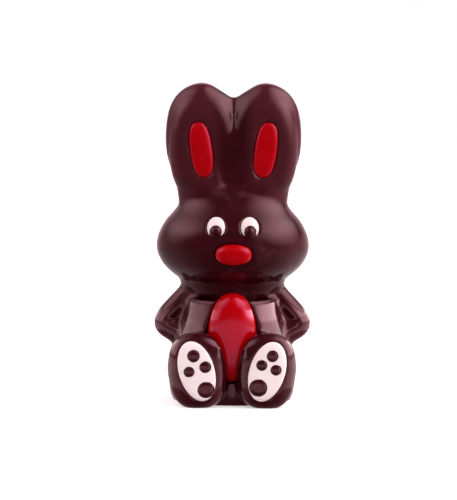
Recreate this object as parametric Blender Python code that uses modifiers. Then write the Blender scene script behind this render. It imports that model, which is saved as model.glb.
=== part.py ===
"""A moulded dark chocolate bunny that sits with its soles forward, in metres.

The figure faces -Y and stands on the plane Z = 0. Its dark body is one casting. The red and white
fields are buttons of coloured chocolate, set in shallow pockets in the front of the casting.
"""

import math

import bmesh
import bpy
from mathutils import Matrix, Vector

# Fineness of the casting
VOXEL = 0.0010
MELT_PASSES = 12
BODY_TRIANGLES = 5400
RING_POINTS = 40
STEPS_PER_ROW = 5
AROUND_LUMP = 40
AROUND_BUTTON = 20
AROUND_STUD = 12

# Air between a button and its pocket
GAP = 0.0003

# Head, the roll of the neck under it, and the brow that rises between the ears
HEAD = {"centre": (0, -0.0010, 0.0786), "radii": (0.0376, 0.0255, 0.0225), "outline": 2.2}
COLLAR = {
    "centre": (0, -0.0028, 0.0570),
    "radii": (0.0256, 0.0187, 0.0076),
    "outline": 2.7,
    "fullness": 2.6,
}
BROW = {"centre": (0, -0.0058, 0.0940), "radii": (0.0125, 0.0095, 0.0123)}

# Ear rows, from the tip down: height, outer edge, inner edge, front and back of the oval there
EAR_ROWS = (
    (0.1592, 0.0158, 0.0156, -0.0001, 0.0001),
    (0.1582, 0.0200, 0.0117, -0.0038, 0.0034),
    (0.1556, 0.0243, 0.0080, -0.0064, 0.0056),
    (0.1512, 0.0285, 0.0012, -0.0082, 0.0070),
    (0.1440, 0.0322, -0.0036, -0.0095, 0.0080),
    (0.1330, 0.0338, -0.0042, -0.0103, 0.0087),
    (0.1220, 0.0329, -0.0040, -0.0109, 0.0092),
    (0.1110, 0.0298, -0.0046, -0.0116, 0.0100),
    (0.1000, 0.0268, -0.0050, -0.0124, 0.0112),
    (0.0880, 0.0262, -0.0050, -0.0130, 0.0125),
    (0.0800, 0.0150, 0.0040, -0.0060, 0.0060),
    (0.0790, 0.0101, 0.0099, -0.0001, 0.0001),
)

# Torso rows, from the neck down: height, half width, front and back
TORSO_ROWS = (
    (0.0680, 0.0001, -0.0001, 0.0001),
    (0.0660, 0.0130, -0.0110, 0.0110),
    (0.0580, 0.0200, -0.0162, 0.0160),
    (0.0480, 0.0234, -0.0205, 0.0192),
    (0.0380, 0.0268, -0.0224, 0.0222),
    (0.0260, 0.0308, -0.0238, 0.0250),
    (0.0120, 0.0318, -0.0236, 0.0262),
    (0.0000, 0.0296, -0.0220, 0.0240),
    (-0.0060, 0.0200, -0.0150, 0.0160),
    (-0.0070, 0.0001, -0.0001, 0.0001),
)

# Arm: a bent tube from the shoulder, over the elbow, to the hip, and the web that fills its bend
ARM_PATH = (
    (0.0145, 0.0000, 0.0602),
    (0.0249, -0.0010, 0.0497),
    (0.0356, -0.0010, 0.0388),
    (0.0280, -0.0020, 0.0337),
    (0.0190, -0.0030, 0.0295),
)
ARM_RADII = (0.0056, 0.0056, 0.0054, 0.0062, 0.0070)
WEB = {"centre": (0.0245, -0.0005, 0.0365), "radii": (0.0115, 0.0068, 0.0130)}

# Leg and foot: the sole faces forward, and the toes lean out
HIP = {"centre": (0.0200, 0.0040, 0.0150), "radii": (0.0126, 0.0190, 0.0175)}
LEG = {"centre": (0.0172, -0.0140, 0.0168), "radii": (0.0136, 0.0160, 0.0176)}
FOOT = {"centre": (0.0169, -0.0250, 0.0182), "radii": (0.0142, 0.0090, 0.0196), "fullness": 2.8}
FOOT_LEAN = math.radians(16)

# Tail
TAIL = {"centre": (0, 0.0275, 0.0150), "radii": (0.0085, 0.0080, 0.0080)}

# Long field in each ear, and the dish around it
EAR_FIELD = {
    "centre": (0.0162, -0.0096, 0.1262),
    "radii": (0.0055, 0.0021, 0.0138),
    "outline": 2.6,
    "fullness": 2.4,
}
EAR_DISH = {"centre": (0.0164, -0.0118, 0.1257), "radii": (0.0088, 0.0023, 0.0182), "outline": 2.3}
EAR_LEAN = math.radians(8)
EAR_TILT = math.radians(3)

# Eye: a white, and a pupil that stands through its lower edge
EYE_WHITE = {"centre": (0.0083, -0.0216, 0.0893), "radii": (0.0044, 0.0020, 0.0048), "fullness": 2.6}
PUPIL = {"centre": (0.0082, -0.0213, 0.0876), "radii": (0.0031, 0.0038, 0.0031), "fullness": 2.6}
EYE_TILT = math.radians(24)
EYE_TURN = math.radians(9)

# Nose and belly
NOSE = {
    "centre": (0.0004, -0.0257, 0.0754),
    "radii": (0.0090, 0.0050, 0.0054),
    "outline": 2.3,
    "fullness": 2.4,
}
BELLY = {"centre": (0, -0.0178, 0.0338), "radii": (0.0124, 0.0085, 0.0225), "fullness": 2.3}
BELLY_GROOVE = {"centre": (0, -0.0218, 0.0338), "radii": (0.0142, 0.0070, 0.0243)}
BELLY_TILT = math.radians(-4)

# Sole pad, with the toe marks and the heel mark that stand through it: across, height, radius
SOLE = {"centre": (0.0173, -0.0328, 0.0188), "radii": (0.0088, 0.0018, 0.0152), "fullness": 3.2}
SOLE_LEAN = math.radians(16.4)
SOLE_MARKS = {
    "left": (
        (0.0189, 0.0264, 0.0030),
        (0.0132, 0.0210, 0.0028),
        (0.0210, 0.0186, 0.0026),
        (0.0128, 0.0098, 0.0040),
    ),
    "right": (
        (0.0198, 0.0266, 0.0028),
        (0.0146, 0.0221, 0.0026),
        (0.0215, 0.0198, 0.0026),
        (0.0131, 0.0110, 0.0043),
    ),
}
MARK_DEPTH = 0.0024
MARK_FULLNESS = 2.6

# Chocolates: colour and roughness
DARK_CHOCOLATE = ((0.042, 0.008, 0.010), 0.22)
RED_CHOCOLATE = ((0.376, 0.001, 0.004), 0.25)
WHITE_CHOCOLATE = ((0.87, 0.77, 0.78), 0.35)


def clear_scene():
    for obj in list(bpy.data.objects):
        bpy.data.objects.remove(obj)


def new_collection(name, shown=True):
    made = bpy.data.collections.new(name)
    made.hide_render = not shown
    bpy.context.scene.collection.children.link(made)
    return made


def new_material(name, colour, roughness):
    made = bpy.data.materials.new(name)
    made.use_nodes = True
    shader = made.node_tree.nodes["Principled BSDF"]
    shader.inputs["Base Color"].default_value = (*colour, 1)
    shader.inputs["Roughness"].default_value = roughness
    shader.inputs["Metallic"].default_value = 0
    return made


def mesh_from(bm, name):
    mesh = bpy.data.meshes.new(name)
    bm.to_mesh(mesh)
    bm.free()
    return mesh


def add_object(name, mesh, collection, material=None):
    obj = bpy.data.objects.new(name, mesh)
    collection.objects.link(obj)
    if material:
        obj.data.materials.append(material)
        obj.data.shade_smooth()
    return obj


def lump(name, spec, collection, side=1, lean=0.0, tilt=0.0, turn=0.0, grow=0.0, around=AROUND_LUMP):
    """A rounded lump, on the right (side 1) or left (-1).

    It leans about Y, its front tilts up, and it turns outwards. The outline is a superellipse, where
    2 is an oval. A fullness of 2 gives a round front, and a higher one a flat front with a round rim.
    """
    outline = spec.get("outline", 2)
    fullness = spec.get("fullness", 2)
    across, deep, high = (radius + grow for radius in spec["radii"])
    x, y, z = spec["centre"]
    bm = bmesh.new()
    bmesh.ops.create_uvsphere(bm, u_segments=around, v_segments=around // 2, radius=1)
    bm.transform(Matrix.Rotation(math.pi / 2, 4, "X"))
    for vert in bm.verts:
        spread = (abs(vert.co.x) ** outline + abs(vert.co.z) ** outline) ** (1 / outline)
        vert.co /= (spread**fullness + abs(vert.co.y) ** fullness) ** (1 / fullness)
    bm.transform(Matrix.Diagonal((across, deep, high, 1)))
    bm.transform(Matrix.Rotation(lean * side, 4, "Y"))
    bm.transform(Matrix.Rotation(-tilt, 4, "X"))
    bm.transform(Matrix.Rotation(turn * side, 4, "Z"))
    bm.transform(Matrix.Translation((x * side, y, z)))
    return add_object(name, mesh_from(bm, name), collection)


def smooth_rows(rows):
    """The rows with even steps between them, on a Catmull-Rom curve."""
    points = [Vector(row) for row in rows]
    points = [points[0], *points, points[-1]]
    found = []
    for a, b, c, d in zip(points, points[1:], points[2:], points[3:]):
        for step in range(STEPS_PER_ROW):
            t = step / STEPS_PER_ROW
            bend = (2 * a - 5 * b + 4 * c - d) * t**2 + (3 * b - a - 3 * c + d) * t**3
            found.append(0.5 * (2 * b + (c - a) * t + bend))
    return [*found, points[-1]]


def oval_loft(name, rows, collection, side=1):
    """A closed form through ovals. Each row is height, one edge and the other, front and back."""
    bm = bmesh.new()
    rings = []
    for height, outer, inner, front, back in smooth_rows(rows):
        middle = (outer + inner) / 2
        half = (outer - inner) / 2
        ring = []
        for k in range(RING_POINTS):
            angle = 2 * math.pi * k / RING_POINTS
            depth = back if math.sin(angle) > 0 else -front
            across = (middle + half * math.cos(angle)) * side
            ring.append(bm.verts.new((across, depth * math.sin(angle), height)))
        rings.append(ring)
    for upper, lower in zip(rings, rings[1:]):
        for k in range(RING_POINTS):
            after = (k + 1) % RING_POINTS
            bm.faces.new((upper[k], upper[after], lower[after], lower[k]))
    bm.faces.new(rings[0])
    bm.faces.new(rings[-1])
    bmesh.ops.recalc_face_normals(bm, faces=bm.faces)
    return add_object(name, mesh_from(bm, name), collection)


def limb(name, path, radii, collection, side=1):
    """A bent tube of changing thickness."""
    curve = bpy.data.curves.new(name, "CURVE")
    curve.dimensions = "3D"
    curve.bevel_depth = 1.0
    curve.bevel_resolution = 6
    curve.use_fill_caps = True
    spline = curve.splines.new("NURBS")
    spline.points.add(len(path) - 1)
    spline.use_endpoint_u = True
    spline.order_u = 3
    for point, (x, y, z), radius in zip(spline.points, path, radii):
        point.co = (x * side, y, z, 1)
        point.radius = radius
    tube = add_object(name + "_curve", curve, collection)
    graph = bpy.context.evaluated_depsgraph_get()
    mesh = bpy.data.meshes.new_from_object(tube.evaluated_get(graph))
    bpy.data.objects.remove(tube)
    bm = bmesh.new()
    bm.from_mesh(mesh)
    bmesh.ops.remove_doubles(bm, verts=bm.verts, dist=0.00001)
    bmesh.ops.recalc_face_normals(bm, faces=bm.faces)
    bm.to_mesh(mesh)
    bm.free()
    return add_object(name, mesh, collection)


def side_lumps(side, work):
    return [
        oval_loft("ear", EAR_ROWS, work, side),
        limb("arm", ARM_PATH, ARM_RADII, work, side),
        lump("web", WEB, work, side),
        lump("hip", HIP, work, side),
        lump("leg", LEG, work, side),
        lump("foot", FOOT, work, side, lean=FOOT_LEAN),
    ]


def casting_lumps(work):
    torso_rows = [(height, half, -half, front, back) for height, half, front, back in TORSO_ROWS]
    middle = [
        lump("head", HEAD, work),
        lump("collar", COLLAR, work),
        lump("brow", BROW, work),
        oval_loft("torso", torso_rows, work),
        lump("tail", TAIL, work),
    ]
    return middle + side_lumps(-1, work) + side_lumps(1, work)


def casting(collection, recesses, material):
    """The lumps melted into one skin with soft creases, shallow recesses and a flat base."""
    bm = bmesh.new()
    for piece in casting_lumps(collection):
        bm.from_mesh(piece.data)
        bpy.data.objects.remove(piece)
    body = add_object("body", mesh_from(bm, "body"), collection)
    melt = body.modifiers.new("melt", "REMESH")
    melt.mode = "VOXEL"
    melt.voxel_size = VOXEL
    soften = body.modifiers.new("soften", "SMOOTH")
    soften.factor = 0.5
    soften.iterations = MELT_PASSES
    bake(body)
    boolean(body, "recesses", "DIFFERENCE", recesses)
    bake(body)
    thin_out(body, BODY_TRIANGLES)
    flatten_base(body)
    body.data.materials.append(material)
    body.data.shade_smooth()
    return body


def bake(obj):
    graph = bpy.context.evaluated_depsgraph_get()
    mesh = bpy.data.meshes.new_from_object(obj.evaluated_get(graph))
    obj.modifiers.clear()
    obj.data = mesh


def flatten_base(obj):
    bm = bmesh.new()
    bm.from_mesh(obj.data)
    every = [*bm.verts, *bm.edges, *bm.faces]
    cut = bmesh.ops.bisect_plane(bm, geom=every, plane_co=(0, 0, 0), plane_no=(0, 0, 1), clear_inner=True)
    rim = [item for item in cut["geom_cut"] if isinstance(item, bmesh.types.BMEdge)]
    bmesh.ops.contextual_create(bm, geom=rim)
    bm.to_mesh(obj.data)
    bm.free()


def thin_out(obj, triangles):
    obj.data.calc_loop_triangles()
    decimate = obj.modifiers.new("thin", "DECIMATE")
    decimate.ratio = triangles / len(obj.data.loop_triangles)
    bake(obj)


def boolean(obj, name, operation, collection):
    made = obj.modifiers.new(name, "BOOLEAN")
    made.operation = operation
    made.operand_type = "COLLECTION"
    made.collection = collection
    return made


def clear_tools(collection):
    for tool in list(collection.objects):
        bpy.data.objects.remove(tool)
    bpy.data.collections.remove(collection)


def hide_tools(*collections):
    for collection in collections:
        for tool in collection.objects:
            tool.hide_render = True
            tool.display_type = "WIRE"


def add_button(name, spec, collection, pockets, material, **place):
    """A button of coloured chocolate and the pocket it sits in."""
    lump(name + "_pocket", spec, pockets, grow=GAP, around=AROUND_BUTTON, **place)
    button = lump(name, spec, collection, around=AROUND_BUTTON, **place)
    button.data.materials.append(material)
    button.data.shade_smooth()
    return button


def add_stud(name, spec, studs, clearances, **place):
    """A stud of the casting that stands through a button, and the clearance round it."""
    lump(name, spec, studs, around=AROUND_STUD, **place)
    lump(name + "_clearance", spec, clearances, grow=GAP, around=AROUND_STUD, **place)


def cut_recesses(recesses):
    """A groove round the belly and a dish in each ear."""
    lump("belly_groove", BELLY_GROOVE, recesses, tilt=BELLY_TILT)
    for side in (-1, 1):
        lump("ear_dish", EAR_DISH, recesses, side=side, lean=EAR_LEAN, tilt=EAR_TILT)


def add_eye(word, side, collection, pockets, studs, material):
    place = {"side": side, "tilt": EYE_TILT, "turn": EYE_TURN}
    room = new_collection("pupil_room_" + word, shown=False)
    white = add_button("eye_white_" + word, EYE_WHITE, collection, pockets, material, **place)
    add_stud("pupil_" + word, PUPIL, studs, room, **place)
    boolean(white, "pupil", "DIFFERENCE", room)
    hide_tools(room)


def add_sole(word, side, collection, pockets, studs, material):
    room = new_collection("mark_room_" + word, shown=False)
    sole = add_button("sole_" + word, SOLE, collection, pockets, material, side=side, lean=SOLE_LEAN)
    for number, (across, height, radius) in enumerate(SOLE_MARKS[word], start=1):
        centre = (across, SOLE["centre"][1], height)
        spec = {"centre": centre, "radii": (radius, MARK_DEPTH, radius), "fullness": MARK_FULLNESS}
        add_stud(f"mark_{word}_{number}", spec, studs, room, side=side)
    boolean(sole, "marks", "DIFFERENCE", room)
    hide_tools(room)


def main():
    clear_scene()
    bunny = new_collection("chocolate_bunny")
    recesses = new_collection("recesses", shown=False)
    pockets = new_collection("pockets", shown=False)
    studs = new_collection("studs", shown=False)
    dark = new_material("dark_chocolate", *DARK_CHOCOLATE)
    red = new_material("red_chocolate", *RED_CHOCOLATE)
    white = new_material("white_chocolate", *WHITE_CHOCOLATE)

    cut_recesses(recesses)
    body = casting(bunny, recesses, dark)
    add_button("nose", NOSE, bunny, pockets, red)
    add_button("belly", BELLY, bunny, pockets, red, tilt=BELLY_TILT)
    for side, word in ((-1, "left"), (1, "right")):
        in_ear = {"side": side, "lean": EAR_LEAN, "tilt": EAR_TILT}
        add_button("ear_field_" + word, EAR_FIELD, bunny, pockets, red, **in_ear)
        add_eye(word, side, bunny, pockets, studs, white)
        add_sole(word, side, bunny, pockets, studs, white)
    boolean(body, "pockets", "DIFFERENCE", pockets)
    boolean(body, "studs", "UNION", studs)
    clear_tools(recesses)
    hide_tools(pockets, studs)


main()
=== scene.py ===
import math

import bpy
from mathutils import Matrix, Vector


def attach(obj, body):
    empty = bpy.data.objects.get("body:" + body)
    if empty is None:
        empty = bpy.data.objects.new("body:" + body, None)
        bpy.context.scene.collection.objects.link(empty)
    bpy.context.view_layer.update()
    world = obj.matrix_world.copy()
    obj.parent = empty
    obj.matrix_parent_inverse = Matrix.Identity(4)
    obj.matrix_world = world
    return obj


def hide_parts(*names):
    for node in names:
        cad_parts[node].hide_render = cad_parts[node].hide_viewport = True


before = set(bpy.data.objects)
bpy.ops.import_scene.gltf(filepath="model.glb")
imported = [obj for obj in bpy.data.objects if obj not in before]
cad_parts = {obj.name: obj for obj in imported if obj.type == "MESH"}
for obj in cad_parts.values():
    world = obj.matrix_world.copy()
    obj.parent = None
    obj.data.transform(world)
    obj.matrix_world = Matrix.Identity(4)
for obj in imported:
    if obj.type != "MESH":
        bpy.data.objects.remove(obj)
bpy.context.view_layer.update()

# A moulded dark chocolate bunny with coloured fields, on a white floor. Lengths are in metres.
scene = bpy.context.scene


# Selecting, joining and applying, as by hand.


def pick(*pieces):
    bpy.ops.object.select_all(action="DESELECT")
    for piece in pieces:
        piece.select_set(True)
    bpy.context.view_layer.objects.active = pieces[0]


def applyModifier(piece, label, kind, **values):
    pick(piece)
    modifier = piece.modifiers.new(label, kind)
    for key, value in values.items():
        setattr(modifier, key, value)
    bpy.ops.object.modifier_apply(modifier=label)


def joinAll(pieces, label):
    pick(*pieces)
    bpy.ops.object.join()
    joined = bpy.context.object
    joined.name = joined.data.name = label
    return joined


def carve(piece, tools):
    # cuts the tools out of the piece, one after another, and clears them away
    for tool in tools:
        applyModifier(piece, "cut", "BOOLEAN", operation="DIFFERENCE", solver="EXACT", object=tool)
        bpy.data.objects.remove(tool)


def melt(piece, voxel, rounds):
    # one closed skin on a grid of voxels, smoothed for some rounds
    applyModifier(piece, "melt", "REMESH", mode="VOXEL", voxel_size=voxel)
    applyModifier(piece, "soften", "SMOOTH", factor=0.5, iterations=rounds)


def shadeSoft(piece):
    pick(piece)
    bpy.ops.object.shade_smooth()


# Forms pulled up ring by ring.


def ovalRing(outline, steps):
    # a ring of radius 1: outline 2 is round, more is squarer, less is pointed at its four sides
    handle = (8 * 2 ** (-1 / outline) - 4) / 3
    bpy.ops.object.select_all(action="DESELECT")
    bpy.ops.curve.primitive_bezier_circle_add(radius=1, location=(0, 0, 0))
    ring = bpy.context.object
    ring.data.resolution_u = steps
    for point in ring.data.splines[0].bezier_points:
        ahead = (point.handle_right - point.co).normalized() * handle
        point.handle_left_type = point.handle_right_type = "FREE"
        point.handle_left = point.co - ahead
        point.handle_right = point.co + ahead
    bpy.ops.object.convert(target="MESH")
    return bpy.context.object


def stackRings(label, rings, outline=2, steps=12):
    # each ring is its middle across, deep and high, then half its width and half its depth
    piece = ovalRing(outline, steps)
    piece.name = piece.data.name = label
    x, y, z, wide, deep = rings[0]
    bpy.ops.object.mode_set(mode="EDIT")
    bpy.ops.mesh.select_all(action="SELECT")
    bpy.ops.mesh.edge_face_add()
    bpy.ops.transform.resize(value=(wide, deep, 1), center_override=(0, 0, 0))
    bpy.ops.transform.translate(value=(x, y, z))
    for (x0, y0, z0, wide0, deep0), (x, y, z, wide, deep) in zip(rings, rings[1:]):
        bpy.ops.mesh.extrude_region_move(TRANSFORM_OT_translate={"value": (x - x0, y - y0, z - z0)})
        bpy.ops.transform.resize(value=(wide / wide0, deep / deep0, 1), center_override=(x, y, z))
    bpy.ops.mesh.select_all(action="SELECT")
    bpy.ops.mesh.normals_make_consistent(inside=False)
    bpy.ops.object.mode_set(mode="OBJECT")
    return piece


poleGirth = 0.004  # share of a lump's girth that is left at its two poles


def lump(label, form, side=1, grow=0, rings=24, steps=12):
    # a rounded body that faces forward, on the right (side 1) or left (side -1)
    wide, deep, high = (radius + grow for radius in form["radii"])
    fullness = form.get("fullness", 2)
    stack = []
    for number in range(rings + 1):
        turn = math.pi * (number / rings - 0.5)
        across = max(math.cos(turn), poleGirth)
        ahead = math.sin(turn)
        size = (across**fullness + abs(ahead) ** fullness) ** (1 / fullness)
        stack.append((0, 0, deep * ahead / size, wide * across / size, high * across / size))
    piece = stackRings(label, stack, form.get("outline", 2), steps)
    x, y, z = form["centre"]
    place = Matrix.Translation((x * side, y, z))
    place @= Matrix.Rotation(math.radians(form.get("turn", 0)) * side, 4, "Z")
    place @= Matrix.Rotation(-math.radians(form.get("tilt", 0)), 4, "X")
    place @= Matrix.Rotation(math.radians(form.get("lean", 0)) * side, 4, "Y")
    piece.matrix_world = place @ Matrix.Rotation(math.pi / 2, 4, "X")
    pick(piece)
    bpy.ops.object.transform_apply(location=True, rotation=True, scale=True)
    return piece


def softRows(rows, steps):
    # rows between the given ones, on a smooth curve through them
    points = [Vector(row) for row in (rows[0], *rows, rows[-1])]
    found = []
    for a, b, c, d in zip(points, points[1:], points[2:], points[3:]):
        for step in range(steps):
            t = step / steps
            bend = (2 * a - 5 * b + 4 * c - d) * t**2 + (3 * b - a - 3 * c + d) * t**3
            found.append(0.5 * (2 * b + (c - a) * t + bend))
    return [*found, points[-1]]


def rowForm(label, rows, outline, side=1, steps=5, grow=0, around=12):
    # an upright form through rows: height, outer and inner edge, front and back
    stack = []
    for height, outer, inner, front, back in softRows(rows, steps):
        wide = (outer - inner) / 2 + grow
        deep = (back - front) / 2 + grow
        stack.append(((outer + inner) / 2 * side, (front + back) / 2, height, wide, deep))
    return stackRings(label, stack, outline, around)


def evenForm(label, form, **finer):
    # the same for a form in the middle, with rows of height, half width, front and back
    rows = [(height, half, -half, front, back) for height, half, front, back in form["rows"]]
    return rowForm(label, rows, form["outline"], **finer)


# The camera looks slightly down, and stands a hair off level.


camera = {
    "distance": 1.3,
    "elevation": 6,
    "frameHeight": 0.252,
    "sensor": 36,
    "roll": 0.4,
    "aim": (-0.0021, 0.0749),  # across and up the picture
}


def addCamera():
    up = math.radians(camera["elevation"])
    across, high = camera["aim"]
    aim = Vector((across, high * math.sin(up), high * math.cos(up)))
    back = Vector((0, -math.cos(up), math.sin(up)))
    turn = Matrix.Rotation(math.pi / 2 - up, 3, "X")
    turn @= Matrix.Rotation(math.radians(camera["roll"]), 3, "Z")
    bpy.ops.object.camera_add(location=aim + back * camera["distance"], rotation=turn.to_euler())
    made = bpy.context.object
    made.data.sensor_fit = "VERTICAL"
    made.data.sensor_height = camera["sensor"]
    made.data.lens = camera["sensor"] * camera["distance"] / camera["frameHeight"]
    scene.camera = made


addCamera()
print("stage: camera")


# The body: head, ears, torso, arms and feet, melted into one casting.


casting = {  # width of a voxel and rounds of smoothing
    "forms": (0.0009, 9),
    "skin": (0.0007, 2),
}
head = {  # from the chin over the cheeks up the long slope to the ears
    "outline": 2.2,
    "rows": (  # height, half width, front and back
        (0.0570, 0.0001, -0.0001, 0.0001),
        (0.0576, 0.0150, -0.0080, 0.0080),
        (0.0600, 0.0238, -0.0146, 0.0135),
        (0.0625, 0.0281, -0.0184, 0.0165),
        (0.0655, 0.0318, -0.0214, 0.0192),
        (0.0690, 0.0350, -0.0240, 0.0216),
        (0.0740, 0.0376, -0.0259, 0.0236),
        (0.0786, 0.0382, -0.0264, 0.0244),
        (0.0830, 0.0374, -0.0260, 0.0238),
        (0.0870, 0.0357, -0.0249, 0.0226),
        (0.0910, 0.0332, -0.0225, 0.0208),
        (0.0950, 0.0296, -0.0191, 0.0188),
        (0.0985, 0.0270, -0.0164, 0.0170),
        (0.1010, 0.0262, -0.0151, 0.0158),
        (0.1040, 0.0250, -0.0140, 0.0146),
        (0.1062, 0.0235, -0.0124, 0.0134),
        (0.1082, 0.0210, -0.0098, 0.0110),
        (0.1096, 0.0150, -0.0060, 0.0060),
        (0.1100, 0.0001, -0.0001, 0.0001),
    ),
}
bridge = {  # fills in between the ears
    "centre": (0, -0.0018, 0.1190),
    "radii": (0.0110, 0.0083, 0.0205),
    "outline": 2.6,
    "fullness": 3,
}
saddle = {  # floor of the notch between the ear tips
    "centre": (0, -0.0004, 0.1464),
    "radii": (0.0078, 0.0034, 0.0056),
    "outline": 2.6,
}
web = {  # fills the bend of each arm
    "centre": (0.0240, -0.0002, 0.0388),
    "radii": (0.0112, 0.0056, 0.0108),
    "tilt": 8,
}
tail = {"centre": (0, 0.0275, 0.0150), "radii": (0.0085, 0.0080, 0.0080)}
hip = {"centre": (0.0200, 0.0040, 0.0150), "radii": (0.0126, 0.0190, 0.0175)}
leg = {"centre": (0.0172, -0.0140, 0.0168), "radii": (0.0136, 0.0160, 0.0176)}
foot = {
    "centre": (0.0170, -0.0250, 0.0180),
    "radii": (0.0146, 0.0090, 0.0192),
    "outline": 2.5,
    "fullness": 2.8,
    "lean": 4,
}
plate = {  # flattens the middle of each ear
    "centre": (0.0152, -0.0010, 0.1275),
    "radii": (0.0170, 0.0096, 0.0275),
    "outline": 2.4,
    "fullness": 3.2,
}
ear = {
    "outline": 1.7,
    "rows": (  # height, outer and inner edge, front and back
        (0.1592, 0.0159, 0.0157, -0.0001, 0.0001),
        (0.1582, 0.0206, 0.0115, -0.0040, 0.0034),
        (0.1556, 0.0256, 0.0070, -0.0066, 0.0056),
        (0.1512, 0.0298, 0.0008, -0.0083, 0.0070),
        (0.1440, 0.0328, -0.0036, -0.0095, 0.0080),
        (0.1330, 0.0340, -0.0042, -0.0103, 0.0087),
        (0.1220, 0.0331, -0.0040, -0.0109, 0.0092),
        (0.1110, 0.0292, -0.0046, -0.0118, 0.0100),
        (0.1000, 0.0272, -0.0050, -0.0128, 0.0112),
        (0.0880, 0.0262, -0.0050, -0.0130, 0.0125),
        (0.0800, 0.0150, 0.0040, -0.0060, 0.0060),
        (0.0790, 0.0101, 0.0099, -0.0001, 0.0001),
    ),
}
neck = {
    "outline": 2.6,
    "rows": (  # height, half width, front and back
        (0.0700, 0.0001, -0.0001, 0.0001),
        (0.0690, 0.0200, -0.0110, 0.0120),
        (0.0640, 0.0262, -0.0140, 0.0160),
        (0.0590, 0.0260, -0.0146, 0.0168),
        (0.0545, 0.0218, -0.0145, 0.0170),
        (0.0505, 0.0178, -0.0134, 0.0165),
        (0.0470, 0.0140, -0.0110, 0.0140),
        (0.0460, 0.0001, -0.0001, 0.0001),
    ),
}
torso = {  # its rim stands up a little round the neck
    "outline": 2,
    "rows": (  # height, half width, front and back
        (0.0462, 0.0001, -0.0001, 0.0001),
        (0.0464, 0.0175, -0.0150, 0.0140),
        (0.0492, 0.0200, -0.0176, 0.0158),
        (0.0522, 0.0213, -0.0195, 0.0172),
        (0.0518, 0.0226, -0.0210, 0.0181),
        (0.0503, 0.0232, -0.0215, 0.0187),
        (0.0465, 0.0240, -0.0221, 0.0196),
        (0.0425, 0.0252, -0.0230, 0.0209),
        (0.0380, 0.0268, -0.0236, 0.0222),
        (0.0260, 0.0306, -0.0238, 0.0250),
        (0.0120, 0.0318, -0.0232, 0.0262),
        (0.0000, 0.0296, -0.0220, 0.0240),
        (-0.0060, 0.0200, -0.0150, 0.0160),
        (-0.0070, 0.0001, -0.0001, 0.0001),
    ),
}
arm = {  # shoulder, over the elbow, to the hip
    "path": (
        (0.0155, 0.0000, 0.0606),
        (0.0256, -0.0010, 0.0500),
        (0.0360, -0.0010, 0.0388),
        (0.0280, -0.0020, 0.0345),
        (0.0190, -0.0030, 0.0305),
    ),
    "radii": (0.0056, 0.0056, 0.0054, 0.0062, 0.0070),
}


def armTube(side):
    bpy.ops.object.select_all(action="DESELECT")
    bpy.ops.curve.primitive_nurbs_path_add(radius=0.01, location=(0, 0, 0))
    tube = bpy.context.object
    spline = tube.data.splines[0]
    spline.order_u = 3
    spline.use_endpoint_u = True
    spline.resolution_u = 16
    for point, (x, y, z), radius in zip(spline.points, arm["path"], arm["radii"]):
        point.co = (x * side, y, z, 1)
        point.radius = radius
    tube.data.bevel_depth = 1
    tube.data.bevel_resolution = 8
    tube.data.use_fill_caps = True
    bpy.ops.object.convert(target="MESH")
    tube = bpy.context.object
    bpy.ops.object.mode_set(mode="EDIT")
    bpy.ops.mesh.select_all(action="SELECT")
    bpy.ops.mesh.remove_doubles(threshold=0.00001)
    bpy.ops.mesh.normals_make_consistent(inside=False)
    bpy.ops.object.mode_set(mode="OBJECT")
    return tube


def castBody():
    parts = [
        lump("bridge", bridge),
        lump("saddle", saddle),
        lump("tail", tail),
        evenForm("head", head),
        evenForm("neck", neck),
        evenForm("torso", torso),
    ]
    for side in (-1, 1):
        parts.append(rowForm("ear", ear["rows"], ear["outline"], side))
        parts.append(armTube(side))
        for form in (plate, web, hip, leg, foot):
            parts.append(lump("lump", form, side))
    body = joinAll(parts, "bodyCasting")
    melt(body, *casting["forms"])
    return body


body = castBody()
print("stage: body melted,", len(body.data.polygons), "faces")


# The coloured fields, their pockets, and the dark studs that stand through the white ones.


earField = {
    "centre": (0.0160, -0.0096, 0.1262),
    "radii": (0.0055, 0.0021, 0.0138),
    "outline": 2.6,
    "fullness": 2.4,
    "lean": 8,
    "tilt": 3,
}
earDish = {
    "centre": (0.0164, -0.0118, 0.1257),
    "radii": (0.0088, 0.0023, 0.0182),
    "outline": 2.3,
    "lean": 8,
    "tilt": 3,
}
eyeWhite = {
    "centre": (0.0083, -0.0229, 0.0886),
    "radii": (0.0045, 0.0020, 0.0055),
    "fullness": 2.6,
    "tilt": 18,
    "turn": 9,
}
pupil = {
    "centre": (0.0082, -0.0228, 0.0863),
    "radii": (0.0029, 0.0035, 0.0030),
    "fullness": 3.4,
    "tilt": 18,
    "turn": 9,
}
nose = {
    "centre": (0.0004, -0.0257, 0.0757),
    "radii": (0.0090, 0.0050, 0.0051),
    "outline": 2.3,
    "fullness": 2.8,
}
belly = {
    "outline": 2,
    "rows": (  # height, half width, front and back
        (0.0560, 0.0001, -0.0187, -0.0185),
        (0.0555, 0.0030, -0.0220, -0.0150),
        (0.0540, 0.0056, -0.0241, -0.0130),
        (0.0510, 0.0083, -0.0256, -0.0110),
        (0.0460, 0.0106, -0.0263, -0.0100),
        (0.0400, 0.0119, -0.0264, -0.0095),
        (0.0335, 0.0124, -0.0262, -0.0095),
        (0.0270, 0.0119, -0.0259, -0.0095),
        (0.0210, 0.0104, -0.0253, -0.0100),
        (0.0160, 0.0081, -0.0243, -0.0110),
        (0.0130, 0.0055, -0.0228, -0.0130),
        (0.0117, 0.0030, -0.0208, -0.0150),
        (0.0112, 0.0001, -0.0187, -0.0185),
    ),
}
bellyGroove = {
    "centre": (0, -0.0218, 0.0338),
    "radii": (0.0142, 0.0070, 0.0243),
    "tilt": -4,
}
sole = {
    "centre": (0.0173, -0.0328, 0.0188),
    "radii": (0.0088, 0.0018, 0.0152),
    "fullness": 3.2,
    "lean": 16.4,
}
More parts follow.
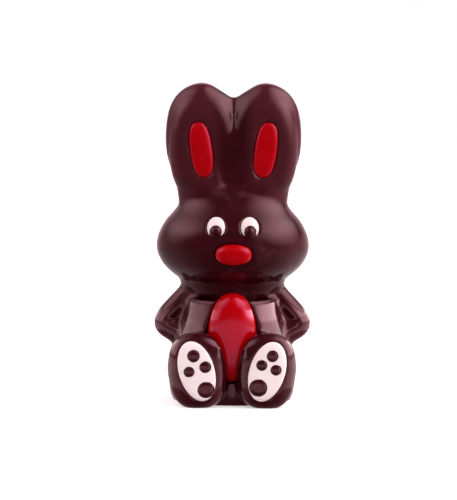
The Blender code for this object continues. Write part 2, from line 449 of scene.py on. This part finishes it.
soleMarks = {  # across, height and radius of the toe marks and the heel mark
    "left": (
        (0.0189, 0.0264, 0.0030),
        (0.0132, 0.0210, 0.0028),
        (0.0210, 0.0186, 0.0026),
        (0.0128, 0.0098, 0.0040),
    ),
    "right": (
        (0.0198, 0.0266, 0.0028),
        (0.0146, 0.0221, 0.0026),
        (0.0215, 0.0198, 0.0026),
        (0.0131, 0.0110, 0.0043),
    ),
    "depth": 0.0021,
    "fullness": 4,
}
fit = {
    "gap": 0.0002,
    "holed": (0.00028, 3),  # width of a voxel and rounds of smoothing
}
sides = (("left", -1), ("right", 1))


def markForms(word):
    forms = []
    for across, height, radius in soleMarks[word]:
        centre = (across, sole["centre"][1], height)
        size = (radius, soleMarks["depth"], radius)
        forms.append({"centre": centre, "radii": size, "fullness": soleMarks["fullness"]})
    return forms


def button(label, form, side=1, holes=()):
    piece = lump(label, form, side, rings=44, steps=24)
    if holes:
        carve(piece, [lump("hole", hole, side, fit["gap"]) for hole in holes])
        melt(piece, *fit["holed"])
    shadeSoft(piece)
    return piece


def pocketsAndStuds(body):
    cuts = [
        lump("nosePocket", nose, 1, fit["gap"]),
        lump("bellyGroove", bellyGroove),
        evenForm("bellyPocket", belly, grow=fit["gap"]),
    ]
    studs = []
    for word, side in sides:
        cuts.append(lump("earDish", earDish, side))
        for form in (earField, eyeWhite, sole):
            cuts.append(lump("pocket", form, side, fit["gap"]))
        studs.append(lump("pupil", pupil, side))
        for form in markForms(word):
            studs.append(lump("mark", form, side))
    carve(body, cuts)
    return joinAll([body, *studs], "bodyCasting")


body = pocketsAndStuds(body)
print("stage: pockets and studs,", len(body.data.polygons), "faces")


def finishSkin(body):
    # the edges of the pockets soften and the underside is cut flat
    melt(body, *casting["skin"])
    pick(body)
    bpy.ops.object.mode_set(mode="EDIT")
    bpy.ops.mesh.select_all(action="SELECT")
    bpy.ops.mesh.bisect(
        plane_co=(0, 0, 0),
        plane_no=(0, 0, 1),
        clear_inner=True,
        use_fill=True,
        threshold=0.000001,
    )
    bpy.ops.object.mode_set(mode="OBJECT")
    shadeSoft(body)


finishSkin(body)
print("stage: body skin,", len(body.data.polygons), "faces")

redButtons = [button("noseButton", nose), evenForm("bellyButton", belly, steps=8, around=24)]
shadeSoft(redButtons[1])
whiteButtons = []
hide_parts("nose")
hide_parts("belly")
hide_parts("body")
for word, side in sides:
    field = button("earField" + word.capitalize(), earField, side)
    white = button("eyeWhite" + word.capitalize(), eyeWhite, side, [pupil])
    pad = button("solePad" + word.capitalize(), sole, side, markForms(word))
    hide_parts("ear_field_" + word)
    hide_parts("eye_white_" + word)
    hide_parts("sole_" + word)
    redButtons.append(field)
    whiteButtons.extend((white, pad))
print("stage: coloured fields")


# Nodes: a value is set, and the output of another node is linked.


def feed(tree, node, given):
    for name, value in given.items():
        if isinstance(value, bpy.types.NodeSocket):
            tree.links.new(value, node.inputs[name])
        else:
            node.inputs[name].default_value = value


def nodeGroup(label, inputs, outputs):
    tree = bpy.data.node_groups.new(label, "ShaderNodeTree")
    for name, kind, value in inputs:
        socket = tree.interface.new_socket(name, in_out="INPUT", socket_type=kind)
        if value is not None:
            socket.default_value = value
    for name, kind in outputs:
        tree.interface.new_socket(name, in_out="OUTPUT", socket_type=kind)
    return tree, tree.nodes.new("NodeGroupInput"), tree.nodes.new("NodeGroupOutput")


def newMaterial(label):
    material = bpy.data.materials.new(label)
    material.use_nodes = True
    return material, material.node_tree, material.node_tree.nodes["Principled BSDF"]


def noise(tree, vector, scale, detail, roughness=0.5):
    made = tree.nodes.new("ShaderNodeTexNoise")
    feed(tree, made, {"Vector": vector, "Scale": scale, "Detail": detail, "Roughness": roughness})
    return made.outputs["Fac"]


def ramp(tree, value, low, high, start=0, end=1):
    made = tree.nodes.new("ShaderNodeMapRange")
    made.interpolation_type = "SMOOTHSTEP"
    feed(tree, made, {"Value": value, "From Min": low, "From Max": high})
    feed(tree, made, {"To Min": start, "To Max": end})
    return made.outputs["Result"]


def maths(tree, kind, a, b=0):
    made = tree.nodes.new("ShaderNodeMath")
    made.operation = kind
    feed(tree, made, {0: a, 1: b})
    return made.outputs["Value"]


def blendColour(tree, share, a, b):
    made = tree.nodes.new("ShaderNodeMix")
    made.data_type = "RGBA"
    feed(tree, made, {"Factor": share, 6: a, 7: b})  # its two colours, whose names aren't unique
    return made.outputs[2]


def split(tree, vector):
    made = tree.nodes.new("ShaderNodeSeparateXYZ")
    feed(tree, made, {"Vector": vector})
    return made.outputs


# Surfaces of tempered chocolate.


tonePatches = {  # scale, detail and roughness of a noise, and the span of it that takes effect
    "deep": ((38, 3, 0.55), (0.42, 0.68)),
    "clear": ((210, 3, 0.6), (0.50, 0.80, 0, 0.6)),
    "cloud": ((64, 5, 0.65), (0.50, 0.78)),
}
castRelief = {
    "waves": (85, 1),  # scale and detail
    "grain": (2600, 2),
    "cells": 230,  # scale of the cells that the pinholes sit in
    "chosen": (0.86, 0.90),  # from which random number on a cell has a pinhole
    "radius": (0.05, 0.11),
    "height": 0.001,  # of a relief of 1, in metres
}


def toneGroup():
    # colour that drifts between a deep and a clear tone, with a thin bloom of cocoa butter
    tree, start, end = nodeGroup(
        "chocolateTone",
        (
            ("Position", "NodeSocketVector", None),
            ("Main", "NodeSocketColor", (0.05, 0.01, 0.01, 1)),
            ("Deep", "NodeSocketColor", (0.02, 0.005, 0.005, 1)),
            ("Clear", "NodeSocketColor", (0.08, 0.02, 0.02, 1)),
            ("Bloom", "NodeSocketFloat", 0.1),
        ),
        (("Color", "NodeSocketColor"), ("Haze", "NodeSocketFloat")),
    )
    patches = {}
    for key, (texture, span) in tonePatches.items():
        patches[key] = ramp(tree, noise(tree, start.outputs["Position"], *texture), *span)
    tone = blendColour(tree, patches["deep"], start.outputs["Main"], start.outputs["Deep"])
    tone = blendColour(tree, patches["clear"], tone, start.outputs["Clear"])
    haze = maths(tree, "MULTIPLY", patches["cloud"], start.outputs["Bloom"])
    feed(tree, end, {"Color": tone, "Haze": haze})
    return tree


def skinGroup():
    # relief of a cast surface: slow waves, a fine grain and a few pinholes of trapped air
    tree, start, end = nodeGroup(
        "castSkin",
        (
            ("Position", "NodeSocketVector", None),
            ("Waves", "NodeSocketFloat", 1.0),
            ("Grain", "NodeSocketFloat", 1.0),
            ("Pinholes", "NodeSocketFloat", 1.0),
        ),
        (("Height", "NodeSocketFloat"),),
    )
    position = start.outputs["Position"]
    waves = noise(tree, position, *castRelief["waves"])
    waves = maths(tree, "MULTIPLY", waves, start.outputs["Waves"])
    grain = noise(tree, position, *castRelief["grain"])
    grain = maths(tree, "MULTIPLY", grain, start.outputs["Grain"])
    cells = tree.nodes.new("ShaderNodeTexVoronoi")
    feed(tree, cells, {"Vector": position, "Scale": castRelief["cells"]})
    draw = tree.nodes.new("ShaderNodeSeparateColor")
    feed(tree, draw, {"Color": cells.outputs["Color"]})
    chosen = ramp(tree, draw.outputs["Red"], *castRelief["chosen"])
    hole = ramp(tree, cells.outputs["Distance"], *castRelief["radius"], 1, 0)
    pits = maths(tree, "MULTIPLY", chosen, hole)
    pits = maths(tree, "MULTIPLY", pits, start.outputs["Pinholes"])
    height = maths(tree, "SUBTRACT", maths(tree, "ADD", waves, grain), pits)
    feed(tree, end, {"Height": height})
    return tree


tones = toneGroup()
skins = skinGroup()

darkChocolate = {
    "main": (0.032, 0.0022, 0.0050, 1),
    "deep": (0.023, 0.0015, 0.0034, 1),
    "clear": (0.042, 0.0045, 0.0078, 1),
    "bloom": 0.25,
    "haze": (0.16, 0.075, 0.085, 1),
    "gloss": (0.13, 0.24),  # roughness where it is clear and where it is hazy
    "specular": 0.5,
    "tint": (1.0, 0.55, 0.62, 1),
    "waves": 0.10,
    "grain": 0.006,
    "pinholes": 0.10,
    "paintedEarLight": (0.057, 0.0095, 0.0138, 1),  # painted light: a lighter colour towards the sides of the ears, in place of the side light they catch
    "paintedEarLightAcross": (0.004, 0.012),
    "paintedEarLightHigh": (0.100, 0.116),
}
redChocolate = {
    "main": (0.39, 0.0001, 0.0014, 1),
    "deep": (0.35, 0.0001, 0.0008, 1),
    "clear": (0.43, 0.0003, 0.0028, 1),
    "bloom": 0.06,
    "haze": (0.48, 0.005, 0.016, 1),
    "gloss": (0.13, 0.24),
    "specular": 0.4,
    "tint": (1.0, 0.45, 0.85, 1),
    "waves": 0.06,
    "grain": 0.006,
    "pinholes": 0.06,
}
whiteChocolate = {
    "main": (0.84, 0.76, 0.765, 1),
    "deep": (0.80, 0.70, 0.68, 1),
    "clear": (0.89, 0.82, 0.83, 1),
    "bloom": 0.10,
    "haze": (0.93, 0.90, 0.90, 1),
    "gloss": (0.30, 0.40),
    "specular": 0.5,
    "tint": (1.0, 1.0, 1.0, 1),
    "waves": 0.06,
    "grain": 0.012,
    "pinholes": 0.06,
}


def chocolate(label, look):
    material, tree, shader = newMaterial(label)
    place = tree.nodes.new("ShaderNodeTexCoord").outputs["Object"]
    tone = tree.nodes.new("ShaderNodeGroup")
    tone.node_tree = tones
    skin = tree.nodes.new("ShaderNodeGroup")
    skin.node_tree = skins
    toneKeys = ("main", "deep", "clear", "bloom")
    skinKeys = ("waves", "grain", "pinholes")
    for group, keys in ((tone, toneKeys), (skin, skinKeys)):
        feed(tree, group, {"Position": place, **{key.capitalize(): look[key] for key in keys}})
    colour = blendColour(tree, tone.outputs["Haze"], tone.outputs["Color"], look["haze"])
    # painted light: the ears, away from their middle, get a lighter colour that stands in for the
    # light they catch from the sides
    if "paintedEarLight" in look:
        spot = split(tree, place)
        beside = ramp(tree, maths(tree, "ABSOLUTE", spot["X"]), *look["paintedEarLightAcross"])
        high = ramp(tree, spot["Z"], *look["paintedEarLightHigh"])
        colour = blendColour(tree, maths(tree, "MULTIPLY", beside, high), colour, look["paintedEarLight"])
    gloss = ramp(tree, tone.outputs["Haze"], 0, look["bloom"], *look["gloss"])
    relief = tree.nodes.new("ShaderNodeBump")
    feed(tree, relief, {"Strength": 1, "Distance": castRelief["height"]})
    feed(tree, relief, {"Height": skin.outputs["Height"]})
    feed(tree, shader, {"Base Color": colour, "Roughness": gloss})
    feed(tree, shader, {"Normal": relief.outputs["Normal"]})
    feed(tree, shader, {"Specular IOR Level": look["specular"], "Specular Tint": look["tint"]})
    return material


def dress(pieces, material):
    for piece in pieces:
        piece.data.materials.clear()
        piece.data.materials.append(material)
        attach(piece, "root")


dress([body], chocolate("darkChocolateSkin", darkChocolate))
dress(redButtons, chocolate("redChocolateSkin", redChocolate))
dress(whiteButtons, chocolate("whiteChocolateSkin", whiteChocolate))
print("stage: chocolates")


# The floor.


paper = {
    "radius": 2.0,
    "colour": (0.86, 0.86, 0.86, 1),
    "roughness": 0.9,
    "glow": (0.42, 1.0),  # in the middle and at the edge
    "middle": 0.15,  # radius of the middle
}


def addCircle(label, radius, fill="NOTHING"):
    bpy.ops.object.select_all(action="DESELECT")
    bpy.ops.mesh.primitive_circle_add(
        vertices=96, radius=radius, fill_type=fill, location=(0, 0, 0)
    )
    made = bpy.context.object
    made.name = label
    return made


def addFloor():
    floor = addCircle("floor", paper["radius"], "NGON")
    material, tree, shader = newMaterial("floorPaper")
    away = tree.nodes.new("ShaderNodeVectorMath")
    away.operation = "LENGTH"
    feed(tree, away, {0: tree.nodes.new("ShaderNodeTexCoord").outputs["Object"]})
    glow = ramp(tree, away.outputs["Value"], paper["middle"], paper["radius"], *paper["glow"])
    feed(tree, shader, {"Base Color": paper["colour"], "Roughness": paper["roughness"]})
    feed(tree, shader, {"Emission Color": glow, "Emission Strength": 1})
    floor.data.materials.append(material)
    floor.visible_glossy = floor.visible_diffuse = False


# Cards bent round the front, which the glossy chocolate mirrors and the camera doesn't see.


cards = {
    "turn": 115,  # how far they reach round to each side, in degrees
    "tint": (1, 0.9, 0.92, 1),
    "reach": 0.07,  # from left to right the glow changes over twice this width
    "upperTurn": (0.35, 1.5),  # where the glow ahead turns into that of the sides
    "lowerTurn": (0.6, 1.1),
    "upright": 0.01,  # a face this near to upright has a mean of both glows
}
lowCard = {  # each glow is straight ahead, on the left and on the right
    "radius": 0.17,
    "bottom": -0.05,
    "top": 0.031,
    "glow": (1.3, 2.0, 3.0),
}
shelf = {
    "inner": 0.028,
    "hole": 0.044,  # up to this radius it is clear from below
    "rim": 0.0001,
    "height": 0.0465,
    "above": (0.08, 0.66, 1.05),
    "below": (0.10, 3.5, 6.0),
}
sideCard = {  # pleated, so that what looks up at it sees other faces than what looks down
    "radius": 0.080,
    "rise": 0.0165,
    "pleats": 24,
    "fold": 0.88,  # inner edge of a pleat as a share of its outer one
    "below": (0.10, 2.9, 9.6),
}


def sideways(tree, x, y, reach, turn, front, left, right):
    # one level straight ahead, others to the left and right of the bunny
    azimuth = maths(tree, "ABSOLUTE", maths(tree, "ARCTAN2", x, maths(tree, "MULTIPLY", y, -1)))
    return ramp(tree, azimuth, *turn, front, ramp(tree, x, -reach, reach, left, right))


def cardGlow(label, above, below):
    # faces that point up and down glow differently, and from below the shelf's hole is clear
    material, tree, shader = newMaterial(label)
    place = split(tree, tree.nodes.new("ShaderNodeTexCoord").outputs["Object"])
    facing = split(tree, tree.nodes.new("ShaderNodeNewGeometry").outputs["Normal"])["Z"]
    x, y = place["X"], place["Y"]
    upper = sideways(tree, x, y, cards["reach"], cards["upperTurn"], *above)
    lower = sideways(tree, x, y, cards["reach"], cards["lowerTurn"], *below)
    upright = cards["upright"]
    strength = ramp(tree, facing, -upright, upright, lower, upper)
    away = maths(tree, "ADD", maths(tree, "MULTIPLY", x, x), maths(tree, "MULTIPLY", y, y))
    hole = shelf["hole"] ** 2
    outside = ramp(tree, away, hole - shelf["rim"], hole + shelf["rim"])
    there = maths(tree, "MAXIMUM", outside, ramp(tree, facing, -upright, upright))
    feed(tree, shader, {"Base Color": (0, 0, 0, 1), "Specular IOR Level": 0, "Alpha": there})
    feed(tree, shader, {"Emission Color": cards["tint"], "Emission Strength": strength})
    return material


def bentCard(label, radius, height, steps, above, below):
    # a ring pulled on by steps of height and width, and cut off behind the bunny
    card = addCircle(label, radius)
    bpy.ops.object.mode_set(mode="EDIT")
    bpy.ops.transform.translate(value=(0, 0, height))
    for rise, resize in steps:
        bpy.ops.mesh.extrude_region_move(TRANSFORM_OT_translate={"value": (0, 0, rise)})
        bpy.ops.transform.resize(value=(resize, resize, 1), center_override=(0, 0, 0))
    behind = -radius * math.cos(math.radians(cards["turn"]))
    bpy.ops.mesh.select_all(action="SELECT")
    bpy.ops.mesh.bisect(plane_co=(0, behind, 0), plane_no=(0, 1, 0), clear_outer=True)
    bpy.ops.object.mode_set(mode="OBJECT")
    card.data.materials.append(cardGlow(label + "Glow", above, below))
    card.visible_camera = card.visible_shadow = card.visible_diffuse = False
    return card


def addCards():
    # the low card brightens the lower half, the shelf over it hides it from the head, and the
    # side card stands at the shelf's height, nearer to the bunny
    radius = lowCard["radius"]
    glow = lowCard["glow"]
    wall = [(lowCard["top"] - lowCard["bottom"], 1)]
    bentCard("lowCard", radius, lowCard["bottom"], wall, glow, glow).visible_diffuse = True
    height = shelf["height"]
    inwards = [(0, shelf["inner"] / radius)]
    bentCard("cardShelf", radius, height, inwards, shelf["above"], shelf["below"])
    fold = sideCard["fold"]
    half = sideCard["rise"] / sideCard["pleats"] / 2
    pleats = [(half, fold), (half, 1 / fold)] * sideCard["pleats"]
    bentCard("sideCard", sideCard["radius"], height, pleats, shelf["above"], sideCard["below"])


# Soft boxes, which fade towards their rims and may be brighter on one side.


boxes = {
    "aim": (0, 0, 0.08),
    "distance": 1.2,
    "tint": (1.0, 0.88, 0.91),
    "edges": (0.2, 0.8),  # from the left to the right of a box, where its shares below hold
}
softBoxes = {  # angles in degrees, and the radiance in the middle
    "rightBox": {
        "azimuth": 73,  # from straight ahead towards +X
        "elevation": 41,
        "wide": 105,
        "high": 82,
        "roll": 27,
        "radiance": 6.0,
        "shares": (0.84, 0.82),  # of its light, on the left and right as seen from its back
        "tint": boxes["tint"],
        "mirrored": True,
    },
    "leftBox": {
        "azimuth": -88,
        "elevation": 41,
        "wide": 102,
        "high": 81,
        "roll": -8,
        "radiance": 2.4,
        "shares": (0.45, 1.48),
        "tint": boxes["tint"],
        "mirrored": True,
    },
    "fillBox": {
        "azimuth": 0,
        "elevation": 48,
        "wide": 60,
        "high": 40,
        "roll": 0,
        "radiance": 4.0,
        "shares": (1.0, 1.0),
        "tint": (1.0, 1.0, 1.0),
        "mirrored": False,
    },
}


def addSoftBox(label, form):
    around = math.radians(form["azimuth"])
    up = math.radians(form["elevation"])
    level = math.cos(up)
    away = Vector((math.sin(around) * level, -math.cos(around) * level, math.sin(up)))
    distance = boxes["distance"]
    bpy.ops.object.light_add(type="AREA", location=Vector(boxes["aim"]) + away * distance)
    box = bpy.context.object
    box.name = label
    turn = away.to_track_quat("Z", "Y").to_matrix()
    turn @= Matrix.Rotation(math.radians(form["roll"]), 3, "Z")
    box.rotation_euler = turn.to_euler()
    box.visible_camera = False
    box.visible_glossy = form["mirrored"]
    lamp = box.data
    lamp.shape = "ELLIPSE"
    lamp.size = 2 * distance * math.tan(math.radians(form["wide"] / 2))
    lamp.size_y = 2 * distance * math.tan(math.radians(form["high"] / 2))
    lamp.energy = form["radiance"] * math.pi**2 / 4 * lamp.size * lamp.size_y  # of an ellipse
    lamp.color = form["tint"]
    lamp.use_nodes = True
    tree = lamp.node_tree
    spot = tree.nodes.new("ShaderNodeNewGeometry").outputs["Parametric"]
    outward = tree.nodes.new("ShaderNodeVectorMath")
    outward.operation = "DISTANCE"
    feed(tree, outward, {0: spot, 1: (0.5, 0.5, 0)})  # from the middle of the box
    fade = ramp(tree, outward.outputs["Value"], 0, 0.5, 1, 0)
    share = ramp(tree, split(tree, spot)["X"], *boxes["edges"], *form["shares"])
    feed(tree, tree.nodes["Emission"], {"Strength": maths(tree, "MULTIPLY", fade, share)})


# The room: white to the camera. For light and reflections it is dark in front and above, and pale
# at the sides and behind.


room = {
    "tint": (1.0, 0.66, 0.72, 1),
    "front": (-0.45, -0.12, 0.28, 0.04),  # heights, and the glow down in front and straight ahead
    "reach": 0.4,
    "turn": (0.35, 1.5),
    "sides": (0.68, 1.12),  # the glow on the left and right
    "upwards": (0.05, 0.40, 1, 0),  # heights, and the share that is left there
    "downwards": (-0.95, -0.35, 0.5, 1),
    "behind": (0.45, 0.85, 0.15, 0.95),  # how far back, and the glow above and behind
}


def addRoom():
    world = bpy.data.worlds.new("room")
    scene.world = world
    world.use_nodes = True
    tree = world.node_tree
    backdrop = tree.nodes["Background"]
    feed(tree, backdrop, {"Color": (1, 1, 1, 1)})
    x, y, z = split(tree, tree.nodes.new("ShaderNodeTexCoord").outputs["Generated"])
    front = ramp(tree, z, *room["front"])
    sides = sideways(tree, x, y, room["reach"], room["turn"], front, *room["sides"])
    upwards = ramp(tree, z, *room["upwards"])
    share = maths(tree, "MULTIPLY", upwards, ramp(tree, z, *room["downwards"]))
    behind = ramp(tree, y, *room["behind"])
    glow = maths(tree, "MAXIMUM", maths(tree, "MULTIPLY", sides, share), behind)
    around = tree.nodes.new("ShaderNodeBackground")
    feed(tree, around, {"Color": room["tint"], "Strength": glow})
    toCamera = tree.nodes.new("ShaderNodeLightPath").outputs["Is Camera Ray"]
    which = tree.nodes.new("ShaderNodeMixShader")
    feed(tree, which, {"Fac": toCamera})
    feed(tree, which, {1: around.outputs["Background"], 2: backdrop.outputs["Background"]})
    feed(tree, tree.nodes["World Output"], {"Surface": which.outputs["Shader"]})


addFloor()
addCards()
for label, form in softBoxes.items():
    addSoftBox(label, form)
addRoom()
scene.view_settings.view_transform = "Standard"
print("stage: floor and light")
